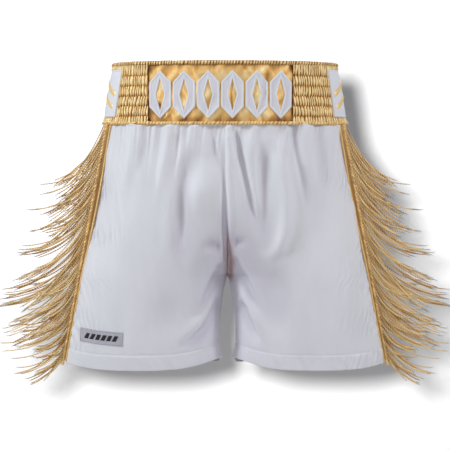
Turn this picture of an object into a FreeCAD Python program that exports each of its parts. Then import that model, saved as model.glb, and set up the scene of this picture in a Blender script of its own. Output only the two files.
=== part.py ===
import FreeCAD, Part
import Sketcher
import math
import os

from FreeCAD import Placement, Rotation, Vector

# Fringed boxing shorts, as separate sewn pieces. Millimetres, +Z up, front towards -Y.
# The origin is the middle of the waist opening, in the plane of the waistband's top edge.
# Left and right are -X and +X, as seen by someone who faces the front.
# Every size that drives the shape is a cell of the spreadsheet Sizes.

SIZES = {
    # Waistband: a ring between two ellipses, one at the top edge and one at the waist seam.
    "top_half_width": 176.0,
    "top_half_depth": 80.0,
    "seam_half_width": 193.5,
    "seam_half_depth": 88.0,
    "band_high": 97.0,
    "cover_thick": 1.2,
    "elastic_thick": 2.0,
    "lining_thick": 0.8,
    "ply_gap": 0.2,
    "sew_gap": 0.3,
    "roll_thick": 2.4,
    "roll_high": 6.0,
    "piping_thick": 2.6,
    "piping_high": 5.0,
    "centre_panel_left": 117.0,
    "centre_panel_right": 103.0,
    # White patch round each side of the waistband, with two raised chevrons.
    "patch_front_x": 160.0,
    "patch_top_drop": 11.0,
    "patch_high": 74.0,
    "patch_thick": 0.9,
    "chevron_half_wide": 18.0,
    "chevron_rise": 15.0,
    "chevron_stroke": 8.0,
    "chevron_pitch": 20.0,
    "chevron_drop": 26.0,
    "chevron_thick": 0.7,
    # Six blocks in a row on the centre panel, each a long hexagon with a lozenge window.
    "block_wide": 33.6,
    "block_high": 73.0,
    "block_pitch": 36.4,
    "block_row_offset": -7.0,
    "block_point": 18.0,
    "window_half_wide": 6.5,
    "window_half_high": 24.0,
    "block_thick": 1.0,
    "block_mid_drop": 51.5,
    # Body and legs. The side of the shorts is a straight line from the waist seam to the hem.
    "cloth_thick": 1.2,
    "crotch_drop": 336.0,
    "hem_drop": 479.0,
    "hem_half_width": 268.0,
    "leg_half_depth": 74.0,
    "seat_fullness": 0.12,
    "leg_gap_half": 13.0,
    "hem_gap_half": 8.4,
    "stripe_half": 38.0,
    "hem_fold": 24.0,
    # Woven label low on the left leg, and the care label inside the waist seam.
    "label_wide": 71.0,
    "label_high": 22.0,
    "label_thick": 0.8,
    "label_from_side": 47.0,
    "label_above_hem": 50.0,
    "mark_wide": 52.0,
    "mark_high": 8.0,
    "mark_thick": 0.4,
    "care_wide": 25.0,
    "care_high": 45.0,
    "care_thick": 0.8,
    "care_roll_rad": 1.2,
    "care_from_back": 9.0,
    # Fringe: strands looped on a header cord that runs down the stripe beside the front panel.
    "header_from_side": 33.0,
    "header_rad": 3.0,
    "header_stand_off": 1.5,
    "fringe_clear": 0.3,
    "fringe_neck": 6.0,
    "fringe_thick": 5.0,
    "fringe_split": 1.6,
}
BLOCKS = 6
FRINGE_SECTIONS = 5
# Where a strand's tip lies from its root, down the seam and out from it, by the root's share of the seam.
STRAND_REACH = (
    (0.00, 100.0, 50.0),
    (0.20, 108.0, 88.0),
    (0.45, 126.0, 108.0),
    (0.60, 118.0, 106.0),
    (0.75, 96.0, 100.0),
    (0.88, 80.0, 78.0),
    (1.00, 54.0, 34.0),
)
STRAND_BOW = 0.08  # how far a strand sags below its chord, per chord length
QUARTER_ARC = 0.5523  # handle of a cubic that stands for a quarter of an ellipse, per half axis
HALF_ARC = 4.0 / 3.0  # handle of a cubic that stands for half an ellipse, per half axis
# Levels of the cloth's sections, as shares of the rise and of the leg below the crotch.
RISE_LEVELS = (0.0, 0.2, 0.4, 0.55, 0.68, 0.78, 0.86, 0.92, 0.96, 0.985, 1.0)
LEG_LEVELS = (0.06, 0.18, 0.36, 0.6, 0.8, 0.9, 1.0)
SIDES = (("left", -1), ("right", 1))

doc = FreeCAD.newDocument("boxing_shorts")


def make_sheet():
    cells = doc.addObject("Spreadsheet::Sheet", "Sizes")
    for row, (name, value) in enumerate(SIZES.items(), start=1):
        cells.set(f"A{row}", name)
        cells.set(f"B{row}", str(value))
        cells.setAlias(f"B{row}", name)
    doc.recompute()
    return cells


sheet = make_sheet()


class Dim:
    """A size with its spreadsheet expression beside its value, so that a sum of sizes can still be bound."""

    def __init__(self, value, text):
        self.value = float(value)
        self.text = text

    def __float__(self):
        return self.value

    def __add__(self, other):
        return Dim(self.value + float(other), f"({self.text} + {text_of(other)})")

    def __sub__(self, other):
        return Dim(self.value - float(other), f"({self.text} - {text_of(other)})")

    def __mul__(self, factor):
        return Dim(self.value * factor, f"({self.text} * {factor!r})")

    def __neg__(self):
        return self * -1.0


def text_of(value):
    return value.text if isinstance(value, Dim) else repr(float(value))


def dim(name):
    return Dim(sheet.get(name), f"Sizes.{name}")


def size(name):
    return float(sheet.get(name))


ZERO = Dim(0.0, "0.0")


def bind(item, **properties):
    """Binds properties to sizes. A double underscore in a name stands for a dot."""
    for name, value in properties.items():
        item.setExpression(name.replace("__", "."), text_of(value))
    return item


def mix(start, end, share):
    return start + (end - start) * share


def smooth(share):
    share = min(1.0, max(0.0, share))
    return share * share * (3 - 2 * share)


# ---------------------------------------------------------------- sketches


def closed_outline(sketch, corners, name, bows=None):
    """Adds a closed outline with its corners fixed to sizes. A positive bow curves an edge to its right."""
    first = sketch.GeometryCount
    places = [Vector(float(x), float(y), 0) for x, y in corners]
    count = len(places)
    for k, start in enumerate(places):
        end = places[(k + 1) % count]
        bow = bows[k] if bows else 0
        if not bow:
            sketch.addGeometry(Part.LineSegment(start, end), False)
            continue
        middle = (start + end) * 0.5 + Vector(end.y - start.y, start.x - end.x, 0).normalize() * bow
        if bow < 0:
            start, end = end, start
        sketch.addGeometry(Part.Arc(start, middle, end), False)
    for k, place in enumerate(places):
        edge, before = first + k, first + (k - 1) % count
        here, there = end_at(sketch, edge, place), end_at(sketch, before, place)
        sketch.addConstraint(Sketcher.Constraint("Coincident", before, there, edge, here))
        for axis, value in zip("XY", corners[k]):
            fix = Sketcher.Constraint(f"Distance{axis}", -1, 1, edge, here, float(value))
            label = f"{name}_{k}_{axis}"
            sketch.renameConstraint(sketch.addConstraint(fix), label)
            if isinstance(value, Dim):
                sketch.setExpression(f"Constraints.{label}", value.text)
    for k, bow in enumerate(bows or []):
        if bow:
            sketch.addConstraint(Sketcher.Constraint("Radius", first + k, sketch.Geometry[first + k].Radius))


def end_at(sketch, edge, place):
    """1 if the edge starts at that place, 2 if it ends there."""
    geometry = sketch.Geometry[edge]
    near_start = geometry.StartPoint.distanceToPoint(place)
    return 1 if near_start <= geometry.EndPoint.distanceToPoint(place) else 2


def padded_body(label, corners, thick, bows=None, midplane=False):
    """A body padded from one outline in its own XY plane."""
    body = doc.addObject("PartDesign::Body", label)
    body.Label = label
    plane = [feature for feature in body.Origin.OriginFeatures if feature.Role == "XY_Plane"][0]
    sketch = body.newObject("Sketcher::SketchObject", f"{label}_outline")
    sketch.AttachmentSupport = (plane, [""])
    sketch.MapMode = "FlatFace"
    closed_outline(sketch, corners, "edge", bows)
    pad = body.newObject("PartDesign::Pad", f"{label}_pad")
    pad.Profile = sketch
    pad.Midplane = midplane
    bind(pad, Length=thick)
    body.Tip = pad
    doc.recompute()
    return body


# ---------------------------------------------------------------- waistband


def ellipse_ring(name, inner, outer):
    """A closed ring that follows the waistband, from inner to outer millimetres outside its nominal face."""
    solids = []
    for tag, offset in (("outside", outer), ("inside", inner)):
        ends = []
        for end, drop in (("top", ZERO), ("seam", dim("band_high"))):
            curve = doc.addObject("Part::Ellipse", f"{name}_{tag}_{end}")
            half_width, half_depth = dim(f"{end}_half_width"), dim(f"{end}_half_depth")
            bind(curve, MajorRadius=half_width + offset, MinorRadius=half_depth + offset, Placement__Base__z=-drop)
            ends.append(curve)
        loft = doc.addObject("Part::Loft", f"{name}_{tag}")
        loft.Sections = ends
        loft.Solid = True
        loft.Ruled = True
        solids.append(loft)
    return boolean("Part::Cut", name, *solids)


def boolean(kind, label, base, tool):
    piece = doc.addObject(kind, label)
    piece.Base, piece.Tool = base, tool
    piece.Label = label
    return piece


def box_between(name, low, high):
    """A box between two corners, each of three sizes."""
    block = doc.addObject("Part::Box", name)
    bind(block, Length=high[0] - low[0], Width=high[1] - low[1], Height=high[2] - low[2],
         Placement__Base__x=low[0], Placement__Base__y=low[1], Placement__Base__z=low[2])
    return block


def waistband(far):
    """The elastic with its lining, the gold cover in two pieces, and the rolled and piped edges."""
    ply, half_sew = dim("ply_gap"), dim("sew_gap") * 0.5
    left, right, seam = -dim("centre_panel_left"), dim("centre_panel_right"), -dim("band_high")
    cover_in = -dim("cover_thick")
    elastic_out = cover_in - ply
    elastic_in = elastic_out - dim("elastic_thick")
    lining_out = elastic_in - ply
    cover = ellipse_ring("cover_ring", cover_in, ZERO)
    centre = box_between("centre_span", (left + half_sew, -far, seam), (right - half_sew, ZERO, ZERO))
    centre_cut = box_between("centre_cut", (left - half_sew, -far, seam), (right + half_sew, ZERO, ZERO))
    roll_span = box_between("roll_span", (-far, -far, -dim("roll_high")), (far, far, ZERO))
    piping_span = box_between("piping_span", (-far, -far, seam), (far, far, seam + dim("piping_high")))
    return [
        ellipse_ring("waist_elastic", elastic_in, elastic_out),
        ellipse_ring("waistband_lining", lining_out - dim("lining_thick"), lining_out),
        boolean("Part::Common", "waistband_centre_panel", cover, centre),
        boolean("Part::Cut", "waistband_shirred_cover", cover, centre_cut),
        boolean("Part::Common", "top_edge_roll", ellipse_ring("roll_ring", ply, ply + dim("roll_thick")), roll_span),
        boolean("Part::Common", "waist_seam_piping",
                ellipse_ring("piping_ring", ply, ply + dim("piping_thick")), piping_span),
    ]


def stamped(label, ring, outline, upright, out, far):
    """The part of a ring that an outline covers when it is swept along out."""
    sketch = doc.addObject("Sketcher::SketchObject", f"{label}_outline")
    sketch.Placement = Placement(Vector(), upright)
    for k, corners in enumerate(outline):
        closed_outline(sketch, corners, f"loop_{k}")
    sweep = doc.addObject("Part::Extrusion", f"{label}_sweep")
    sweep.Base = sketch
    sweep.DirMode = "Custom"
    sweep.Dir = out
    sweep.Solid = True
    bind(sweep, LengthFwd=far)
    return boolean("Part::Common", label, ring, sweep)


def side_patches(far):
    """A white patch round each side of the waistband, with two chevrons embroidered on it."""
    ply, thick = dim("ply_gap"), dim("patch_thick")
    patch = ellipse_ring("patch_ring", ply, ply + thick)
    raised = ellipse_ring("chevron_ring", ply * 2.0 + thick, ply * 2.0 + thick + dim("chevron_thick"))
    top = -dim("patch_top_drop")
    bottom = top - dim("patch_high")
    edge = dim("patch_front_x")
    upright = Rotation(Vector(0, 1, 0), Vector(0, 0, 1), Vector(1, 0, 0), "ZXY")
    pieces = []
    for side, sign in SIDES:
        start, end = (edge, far) if sign > 0 else (-far, -edge)
        span = box_between(f"{side}_patch_span", (start, -far, bottom), (end, far, top))
        pieces.append(boolean("Part::Common", f"waistband_{side}_patch", patch, span))
        pieces.append(stamped(f"{side}_patch_chevrons", raised, chevrons(), upright, Vector(sign, 0, 0), far))
    return pieces


def chevrons():
    """Two chevrons that point up, one over the other."""
    half, rise, stroke = dim("chevron_half_wide"), dim("chevron_rise"), dim("chevron_stroke")
    outline = []
    for k in range(2):
        peak = -(dim("chevron_drop") + dim("chevron_pitch") * k)
        foot = peak - rise
        outline.append([(-half, foot), (ZERO, peak), (half, foot), (half, foot - stroke),
                        (ZERO, peak - stroke), (-half, foot - stroke)])
    return outline


def applique_blocks(far):
    """Six long hexagons in a row, each with a lozenge window, sewn on the centre panel."""
    ply = dim("ply_gap")
    raised = ellipse_ring("block_ring", ply, ply + dim("block_thick"))
    upright = Rotation(Vector(1, 0, 0), Vector(0, 0, 1), Vector(0, -1, 0), "ZXY")
    half, tall, point = dim("block_wide") * 0.5, dim("block_high") * 0.5, dim("block_point")
    window_half, window_tall = dim("window_half_wide"), dim("window_half_high")
    level = -dim("block_mid_drop")
    pieces = []
    for k in range(BLOCKS):
        middle = dim("block_row_offset") + dim("block_pitch") * (k - (BLOCKS - 1) / 2)
        hexagon = [
            (middle - half, level - tall + point), (middle, level - tall), (middle + half, level - tall + point),
            (middle + half, level + tall - point), (middle, level + tall), (middle - half, level + tall - point),
        ]
        lozenge = [(middle - window_half, level), (middle, level - window_tall),
                   (middle + window_half, level), (middle, level + window_tall)]
        label = f"applique_block_{k + 1}"
        pieces.append(stamped(label, raised, [hexagon, lozenge], upright, Vector(0, -1, 0), far))
    return pieces


def care_label():
    """A blank label that hangs from its rolled top edge, inside the back of the waist seam."""
    half = dim("care_wide") * 0.5
    corners = [(-half, -dim("care_high")), (half, -dim("care_high")), (half, ZERO), (-half, ZERO)]
    tail = padded_body("care_label_sheet", corners, dim("care_thick"), midplane=True)
    top = Vector(0, size("seam_half_depth") - size("care_from_back"), -size("band_high") - 1.0)
    tail.Placement = Placement(top, Rotation(Vector(1, 0, 0), 90))
    roll = doc.addObject("Part::Cylinder", "care_label_roll")
    bind(roll, Radius=dim("care_roll_rad"), Height=dim("care_wide"))
    roll.Placement = Placement(top - Vector(float(half), 0, 0), Rotation(Vector(0, 1, 0), 90))
    return [boolean("Part::Fuse", "care_label", tail, roll)]


# ---------------------------------------------------------------- cloth, lofted through its sections


def level_at(drop):
    """A level as its drop below the top edge, its share of the rise and its share of the leg."""
    seam, crotch, hem = size("band_high") + size("sew_gap"), size("crotch_drop"), size("hem_drop")
    return drop, min(1.0, (drop - seam) / (crotch - seam)), max(0.0, (drop - crotch) / (hem - crotch))


def cloth_levels():
    seam, crotch, hem = size("band_high") + size("sew_gap"), size("crotch_drop"), size("hem_drop")
    return [level_at(mix(seam, crotch, q)) for q in RISE_LEVELS] + [level_at(mix(crotch, hem, q)) for q in LEG_LEVELS]


def half_gap(leg):
    """Half the gap between the legs: it opens below the crotch and narrows again at the flared hem."""
    opened = size("leg_gap_half") * (1 - (1 - leg) ** 3)
    return size("sew_gap") + opened - (size("leg_gap_half") - size("hem_gap_half")) * smooth((leg - 0.8) / 0.2)


def half_section(level, back, inset):
    """Poles of the left half's front or back curve at a level, from the side line to the middle.

    At the waist seam the curve is a quarter of the body's ellipse, and at the crotch it is half of the leg's.
    Between the two it is scaled so that its deepest point keeps to the depth set for the level.
    """
    drop, rise, leg = level
    waist_share = math.sqrt(max(0.0, 1 - rise ** 3))
    leg_share = 1 - waist_share
    depth = mix(size("seam_half_depth"), size("leg_half_depth"), smooth(rise))
    if back:
        depth *= 1 + size("seat_fullness") * math.sin(math.pi * rise)
    depth -= inset
    share = (drop - size("band_high")) / (size("hem_drop") - size("band_high"))
    width = mix(size("seam_half_width"), size("hem_half_width"), share) - inset
    middle = half_gap(leg) + inset * leg_share
    handles = mix(QUARTER_ARC, HALF_ARC, leg_share), mix(1.0, HALF_ARC, leg_share)
    depth *= (-1 if not back else 1) / deepest(*handles, waist_share)
    return [
        Vector(-width, 0, -drop),
        Vector(-width, depth * handles[0], -drop),
        Vector(-mix(QUARTER_ARC * width, middle, leg_share), depth * handles[1], -drop),
        Vector(-middle, depth * waist_share, -drop),
    ]


def deepest(first, second, last, steps=60):
    """The greatest value of a cubic that starts at 0 and has these three other poles."""
    shares = [k / steps for k in range(steps + 1)]
    return max(3 * q * (1 - q) ** 2 * first + 3 * q * q * (1 - q) * second + q ** 3 * last for q in shares)


def section_curve(level, back, inset):
    curve = Part.BezierCurve()
    curve.setPoles(half_section(level, back, inset))
    return curve


def trimmed(curve, start, end):
    """The part of a curve between two distances from the side line. An end of None is the middle seam."""
    edge = curve.toShape()
    last = edge.Length - size("sew_gap") / 2 if end is None else end
    return Part.Edge(curve, edge.getParameterByLength(start), edge.getParameterByLength(last))


def strip_solid(sign, levels, back, start, end, outer, inner):
    """A sheet of cloth from outer to inner millimetres inside the nominal face, on one side of the shorts."""
    wires = []
    for level in levels:
        out = trimmed(section_curve(level, back, outer), start, end)
        into = trimmed(section_curve(level, back, inner), start, end)
        ends = [(edge.valueAt(edge.FirstParameter), edge.valueAt(edge.LastParameter)) for edge in (out, into)]
        far_side = Part.LineSegment(ends[0][1], ends[1][1]).toShape()
        near_side = Part.LineSegment(ends[1][0], ends[0][0]).toShape()
        wires.append(Part.Wire([out, far_side, into, near_side]))
    shape = Part.makeLoft(wires, True, True)
    return shape.mirror(Vector(), Vector(1, 0, 0)) if sign > 0 else shape


def feature(label, shape):
    piece = doc.addObject("Part::Feature", label)
    piece.Label = label
    piece.Shape = shape
    return piece


def wrapped(label, sign, levels, end, outer, inner):
    """A front sheet and a back sheet joined along the side line."""
    front, back = (strip_solid(sign, levels, face, 0.0, end, outer, inner) for face in (False, True))
    return feature(label, front.fuse(back).removeSplitter())


def body_cloth():
    """The front and back panel, the side stripe and the turned-up hem of each leg."""
    levels = cloth_levels()
    thick, stripe = size("cloth_thick"), size("stripe_half")
    fold_top = size("hem_drop") - size("hem_fold")
    fold_levels = [level_at(fold_top)] + [level for level in levels if level[0] > fold_top + 1]
    fold_out = thick + size("ply_gap")
    pieces = []
    for side, sign in SIDES:
        for face, back in (("front", False), ("back", True)):
            panel = strip_solid(sign, levels, back, stripe + size("sew_gap"), None, 0.0, thick)
            pieces.append(feature(f"{side}_{face}_panel", panel))
        pieces.append(wrapped(f"{side}_side_stripe", sign, levels, stripe, 0.0, thick))
        pieces.append(wrapped(f"{side}_hem_fold", sign, fold_levels, None, fold_out, fold_out + thick))
    return pieces


def leg_label():
    """The woven label low on the front of the left leg, and the plain printed bar on it."""
    middle = size("hem_drop") - size("label_above_hem")
    ply, thick = size("ply_gap"), size("label_thick")
    pieces = []
    for name, part, outer, inner in (("leg_label", "label", -ply - thick, -ply),
                                     ("leg_label_mark", "mark", -2 * ply - thick - size("mark_thick"), -2 * ply - thick)):
        wide, high = size(f"{part}_wide"), size(f"{part}_high")
        start = size("label_from_side") + (size("label_wide") - wide) / 2
        levels = [level_at(middle + high * share) for share in (-0.5, 0.0, 0.5)]
        pieces.append(feature(name, strip_solid(-1, levels, False, start, start + wide, outer, inner)))
    return pieces


# ---------------------------------------------------------------- fringe


def header_point(level):
    """A point of the left header's axis, just outside the stripe."""
    edge = section_curve(level, False, 0.0).toShape()
    along = edge.getParameterByLength(size("header_from_side"))
    tangent = edge.tangentAt(along)
    outward = Vector(tangent.y, -tangent.x, 0).normalize()
    return edge.valueAt(along) + outward * (size("header_rad") + size("header_stand_off"))


def header_line(sign):
    """The top end and bottom end of a header's straight axis."""
    levels = cloth_levels()
    return [Vector(-sign * point.x, point.y, point.z) for point in map(header_point, (levels[0], levels[-1]))]


def seam_frame(sign):
    """The header's top end, its length, and a rotation whose X points out from the shorts and Y up the header."""
    top, bottom = header_line(sign)
    up = (top - bottom).normalize()
    out = Vector(sign, 0, 0)
    out = (out - up * out.dot(up)).normalize()
    return top, (top - bottom).Length, Rotation(out, up, out.cross(up), "XYZ")


def round_cord(label, rad, sign, spare):
    """A cylinder along a header's axis, longer than it by spare at each end."""
    top, long, turn = seam_frame(sign)
    up = turn.multVec(Vector(0, 1, 0))
    cord = doc.addObject("Part::Cylinder", label)
    cord.Label = label
    bind(cord, Radius=rad)
    cord.Height = long + 2 * spare
    cord.Placement = Placement(top - up * (long + spare), Rotation(Vector(0, 0, 1), up))
    return cord


def reach_at(share):
    """How far down and out a strand's tip lies from a root at that share of the seam."""
    for (start, down0, out0), (end, down1, out1) in zip(STRAND_REACH, STRAND_REACH[1:]):
        if share <= end:
            part = (share - start) / (end - start)
            return mix(down0, down1, part), mix(out0, out1, part)
    return STRAND_REACH[-1][1:]


def fringe():
    """Each side's header cord, and its strands as five flat curtains that turn about the cord."""
    near, split = size("header_rad") - 0.6, size("fringe_split") / 2
    neck = size("header_rad") + size("fringe_neck")
    pieces = []
    for side, sign in SIDES:
        pieces.append(round_cord(f"{side}_fringe_header", dim("header_rad"), sign, 0.0))
        bore = round_cord(f"{side}_fringe_bore", dim("header_rad") + dim("fringe_clear"), sign, 20.0)
        top, long, turn = seam_frame(sign)
        for k in range(FRINGE_SECTIONS):
            first, last = k / FRINGE_SECTIONS, (k + 1) / FRINGE_SECTIONS
            (down0, out0), (down1, out1) = reach_at(first), reach_at(last)
            root0, root1 = first * long + split, last * long - split
            corners = [(near, -root0), (near, -root1), (neck, -root1), (out1, -root1 - down1 + split),
                       (out0, -root0 - down0 - split), (neck, -root0)]
            sag0, sag1 = STRAND_BOW * math.hypot(down0, out0), STRAND_BOW * math.hypot(down1, out1)
            bows = [0, 0, sag1, 0, -sag0, 0]
            name = f"{side}_fringe_{k + 1}"
            curtain = padded_body(f"{name}_curtain", corners, dim("fringe_thick"), bows, midplane=True)
            curtain.Placement = Placement(top, turn)
            pieces.append(boolean("Part::Cut", name, curtain, bore))
    return pieces


# ---------------------------------------------------------------- build, check and write


def check(pieces):
    """Stops at any failed object, and at any piece that isn't made of valid closed solids."""
    for item in doc.Objects:
        if any(flag in item.State for flag in ("Invalid", "Error")):
            raise RuntimeError(f"{item.Label} failed: {item.State}")
    for piece in pieces:
        shape = piece.Shape
        if shape.isNull() or not shape.isValid() or not shape.Solids:
            raise RuntimeError(f"{piece.Label} is null or not valid")


def main():
    far = dim("seam_half_width") + 30.0
    pieces = waistband(far) + side_patches(far) + applique_blocks(far) + [*care_label(), *body_cloth()]
    pieces += leg_label() + fringe()
    doc.recompute()
    check(pieces)
    os.makedirs("parts", exist_ok=True)
    for old in os.listdir("parts"):
        os.remove(os.path.join("parts", old))
    for piece in pieces:
        piece.Shape.exportStep(f"parts/{piece.Label}.step")
        print(f"{piece.Label}: {len(piece.Shape.Solids)} solid(s), {piece.Shape.Volume / 1000:.2f} cm3")
    for side, sign in SIDES:
        ends = [tuple(round(value, 3) for value in point) for point in header_line(sign)]
        print(f"{side} header axis from {ends[0]} to {ends[1]}")


main()
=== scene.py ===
import math

import bpy
import numpy as np
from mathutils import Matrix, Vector


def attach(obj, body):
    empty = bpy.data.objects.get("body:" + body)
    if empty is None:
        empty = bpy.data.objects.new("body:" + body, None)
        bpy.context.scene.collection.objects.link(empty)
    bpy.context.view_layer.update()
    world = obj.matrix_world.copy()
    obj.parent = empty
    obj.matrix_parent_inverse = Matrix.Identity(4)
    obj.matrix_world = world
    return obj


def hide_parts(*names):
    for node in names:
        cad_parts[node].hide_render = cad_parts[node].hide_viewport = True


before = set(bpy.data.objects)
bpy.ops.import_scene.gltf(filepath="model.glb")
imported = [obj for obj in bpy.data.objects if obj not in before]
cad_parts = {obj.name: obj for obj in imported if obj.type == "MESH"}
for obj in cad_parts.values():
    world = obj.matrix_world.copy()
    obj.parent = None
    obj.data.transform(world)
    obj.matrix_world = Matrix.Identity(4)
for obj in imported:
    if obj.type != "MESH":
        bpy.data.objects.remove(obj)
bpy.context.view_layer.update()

# Fringed boxing shorts. Shapes are worked out in millimetres in the CAD's own frame: +Z up, front towards -Y,
# the origin in the middle of the waist opening. SCALE turns them into metres when a mesh is made.
SCALE = 0.001

# The CAD's sizes, in millimetres.
TOP_HALF_WIDTH, TOP_HALF_DEPTH = 176.0, 80.0
SEAM_HALF_WIDTH, SEAM_HALF_DEPTH = 193.5, 88.0
BAND_HIGH = 97.0
CROTCH_DROP, HEM_DROP = 336.0, 479.0
HEM_HALF_WIDTH = 268.0
LEG_HALF_DEPTH = 74.0
SEAT_FULLNESS = 0.12
LEG_GAP_HALF, HEM_GAP_HALF = 13.0, 8.4
SEW_GAP = 0.3
MIDDLE_LAP = 1.2
STRIPE_HALF = 38.0
CENTRE_LEFT, CENTRE_RIGHT = -117.0, 103.0
PATCH_FRONT_X = 160.0
PATCH_TOP, PATCH_HIGH = 11.0, 74.0
SIDE_LIFT = -5.0
HEADER_TOP, HEADER_FOOT = (185.4, -33.0, -97.3), (261.6, -33.5, -479.0)
QUARTER_ARC, HALF_ARC = 0.5523, 4.0 / 3.0
SIDES = (("left", -1), ("right", 1))
FRONT_AND_BACK = (False, True)


# ---------------------------------------------------------------- numbers


def mix(a, b, share):
    return a + (b - a) * share


def smooth(share):
    share = np.clip(share, 0.0, 1.0)
    return share * share * (3 - 2 * share)


def bell(distance, width):
    return np.exp(-((distance / width) ** 2))


def noise1(x, seed):
    """Smooth noise from -1 to 1 along one coordinate, with a new value at each whole number."""
    table = np.random.default_rng(seed).uniform(-1, 1, 1024)
    cell = np.floor(x).astype(int)
    return mix(table[cell % 1024], table[(cell + 1) % 1024], smooth(x - cell))


def noise2(x, y, seed):
    """Smooth noise from -1 to 1 over a plane."""
    table = np.random.default_rng(seed).uniform(-1, 1, (64, 64))
    i, j = np.floor(x).astype(int), np.floor(y).astype(int)
    u, v = smooth(x - i), smooth(y - j)
    low = mix(table[i % 64, j % 64], table[(i + 1) % 64, j % 64], u)
    high = mix(table[i % 64, (j + 1) % 64], table[(i + 1) % 64, (j + 1) % 64], u)
    return mix(low, high, v)


def rounded(points, times=3):
    """Cuts the corners of an open polyline, to make a smooth curve of it."""
    points = np.asarray(points, float)
    for _ in range(times):
        a, b = points[:-1], points[1:]
        cut = np.empty((2 * len(a), points.shape[1]))
        cut[0::2], cut[1::2] = mix(a, b, 0.25), mix(a, b, 0.75)
        points = np.vstack([points[:1], cut, points[-1:]])
    return points


def spread(start, end, rows, columns):
    """A grid whose rows run evenly from start to end."""
    return np.linspace(start, end, rows)[:, None] * np.ones(columns)


def domed(share):
    """A half circle's height over a share from 0 to 1, and nothing beyond it."""
    return np.sqrt(np.maximum(0, 1 - (2 * np.clip(share, 0, 1) - 1) ** 2))


def fold(x, z, points, width, height, lean=0.0, open_ends=(0.25, 0.25)):
    """A ridge (or valley, if height is negative) along a line of points in front view.

    lean makes its right side steeper (positive) or its left. open_ends are the shares of its length over
    which it fades in and out.
    """
    line = rounded(points)
    steps = np.diff(line, axis=0)
    lengths = np.hypot(*steps.T)
    reached = np.concatenate([[0], np.cumsum(lengths)])
    near = np.full(x.shape, 1e9)
    along = np.zeros(x.shape)
    beside = np.zeros(x.shape)
    for k, (step, length) in enumerate(zip(steps, lengths)):
        dx, dz = x - line[k][0], z - line[k][1]
        part = np.clip((dx * step[0] + dz * step[1]) / length**2, 0, 1)
        away = np.hypot(dx - part * step[0], dz - part * step[1])
        closer = away < near
        near = np.where(closer, away, near)
        along = np.where(closer, (reached[k] + part * length) / reached[-1], along)
        beside = np.where(closer, (dx * -step[1] + dz * step[0]) / length, beside)
    fade = np.ones(x.shape)
    for end, reach in zip((along, 1 - along), open_ends):
        if reach:
            fade = fade * smooth(end / reach)
    side_width = width * (1 + lean * np.tanh(beside / width))
    return height * fade * bell(near, side_width)


# ---------------------------------------------------------------- meshes


def grid_faces(rows, columns, wrap=False):
    """Quads of a grid of points stored row by row. With wrap, the last column joins the first."""
    r, c = np.meshgrid(np.arange(rows - 1), np.arange(columns if wrap else columns - 1), indexing="ij")
    after = (c + 1) % columns
    above, below = r * columns, (r + 1) * columns
    return np.stack([above + c, above + after, below + after, below + c], -1).reshape(-1, 4)


def link(name, data):
    """A new object of the scene."""
    made = bpy.data.objects.new(name, data)
    bpy.context.scene.collection.objects.link(made)
    return made


def make_piece(name, points, quads, material, replaces=None, uv=None, painted_shade_and_tone=None, body="shorts", slot=None):
    """A mesh object from points in millimetres and quads.

    uv is in millimetres of cloth, and the painted shade and tone is a number for each point. slot is not used.
    """
    mesh = bpy.data.meshes.new(name)
    points = np.ascontiguousarray(points.reshape(-1, 3), dtype=np.float32) * SCALE
    quads = np.ascontiguousarray(quads, dtype=np.int32)
    mesh.vertices.add(len(points))
    mesh.vertices.foreach_set("co", points.ravel())
    mesh.loops.add(quads.size)
    mesh.loops.foreach_set("vertex_index", quads.ravel())
    mesh.polygons.add(len(quads))
    mesh.polygons.foreach_set("loop_start", np.arange(0, quads.size, 4, dtype=np.int32))
    mesh.update(calc_edges=True)
    mesh.shade_smooth()
    if uv is not None:
        layer = mesh.uv_layers.new(name="cloth")
        layer.data.foreach_set("uv", (uv.reshape(-1, 2)[quads.ravel()] * 0.01).astype(np.float32).ravel())
    # The per-point attribute holds painted shade and painted light on the folded, gathered and twisted pieces, and
    # plain tone on the rest.
    if painted_shade_and_tone is not None:
        attribute = mesh.attributes.new("painted_shade_and_tone", "FLOAT", "POINT")
        attribute.data.foreach_set("value", np.broadcast_to(painted_shade_and_tone, points.shape[:1]).astype(np.float32))
    mesh.materials.append(material)
    piece = link(name, mesh)
    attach(piece, body)
    if replaces:
        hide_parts(replaces)
    return piece


def grid_piece(name, points, material, replaces, uv=None, painted_shade_and_tone=None, wrap=False, **where):
    return make_piece(name, points, grid_faces(*points.shape[:2], wrap), material, replaces, uv, painted_shade_and_tone, **where)


def unit(vectors):
    return vectors / np.maximum(np.linalg.norm(vectors, axis=-1, keepdims=True), 1e-9)


def cloth_normals(points, sign, back):
    """Outward normals of a grid from cloth_grid."""
    along, down = np.gradient(points, axis=1), np.gradient(points, axis=0)
    return unit(np.cross(along, down)) * (-sign if back else sign)


def tube(path, radius, around=10, flat_axis=(0.0, 0.0, 1.0), closed=False):
    """Points of a tube along a path, as a grid with a row for each path point.

    radius may be a number or an array of rows by around.
    """
    path = np.asarray(path, float)
    if closed:
        tangent = np.roll(path, -1, axis=0) - np.roll(path, 1, axis=0)
    else:
        tangent = np.gradient(path, axis=0)
    tangent = unit(tangent)
    side = unit(np.cross(np.broadcast_to(flat_axis, tangent.shape), tangent))
    up = np.cross(tangent, side)
    angle = np.linspace(0, 2 * math.pi, around, endpoint=False)
    radius = np.broadcast_to(radius, (len(path), around))
    return (path[:, None] + side[:, None] * (radius * np.cos(angle))[..., None]
            + up[:, None] * (radius * np.sin(angle))[..., None])


def join(parts):
    """Joins (points, quads) pairs into one pair."""
    points = [part.reshape(-1, 3) for part, _ in parts]
    starts = np.cumsum([0] + [len(part) for part in points])
    return np.vstack(points), np.vstack([quads + start for (_, quads), start in zip(parts, starts)])


def grid_with_faces(points, wrap=False):
    return points, grid_faces(*points.shape[:2], wrap)


# ---------------------------------------------------------------- materials


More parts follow.
